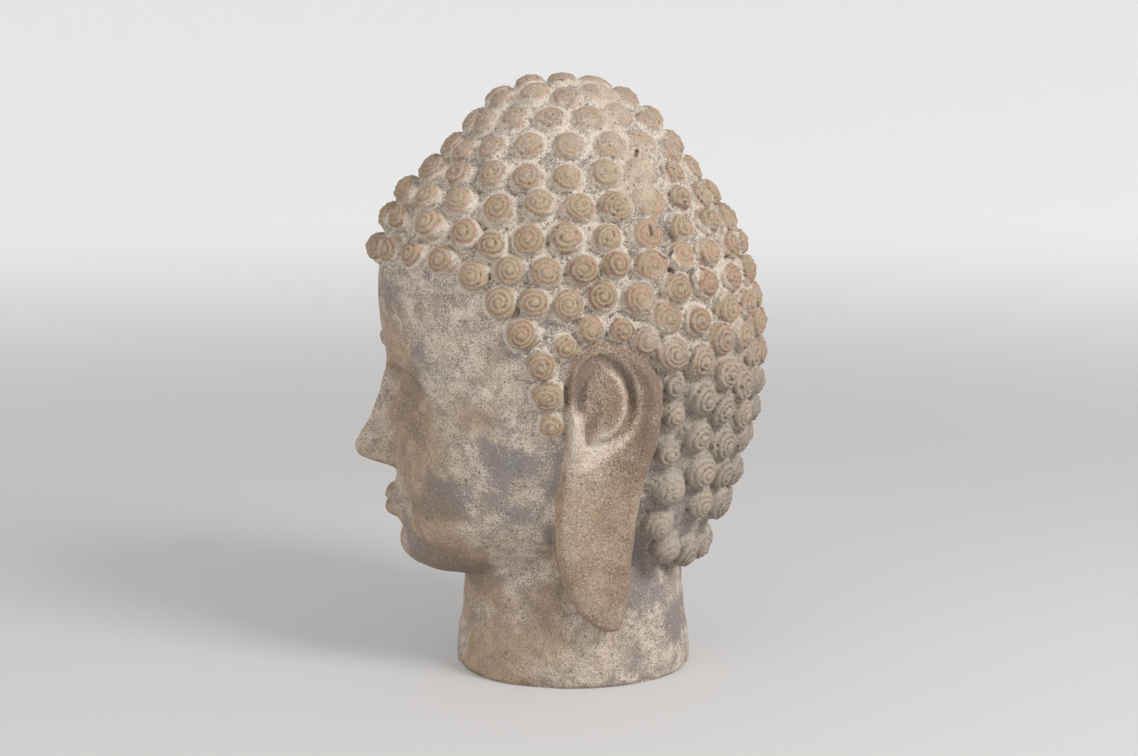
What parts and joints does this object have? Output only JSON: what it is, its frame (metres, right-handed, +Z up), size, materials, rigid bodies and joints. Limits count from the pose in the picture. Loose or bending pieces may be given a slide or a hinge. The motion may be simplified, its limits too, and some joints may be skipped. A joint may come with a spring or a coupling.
{
  "type": "stone buddha head",
  "caption": "Cast stone Buddha head with snail-shell curls over a raised crown, long ear lobes and a calm face, ending in a plain neck cut flat to stand on.",
  "frame": {"origin": "centre of the neck's flat underside", "axes": "+Z up along the neck, -Y the way the face looks, +X toward the head's own left ear"},
  "size_m": [0.2505, 0.3117, 0.4508],
  "materials": {
    "cast_stone": "matte, weathered brown wash over grey cement, with pale lime in the grooves"
  },
  "bodies": {
    "root": {"buddha_head": "cast_stone"}
  },
  "joints": []
}
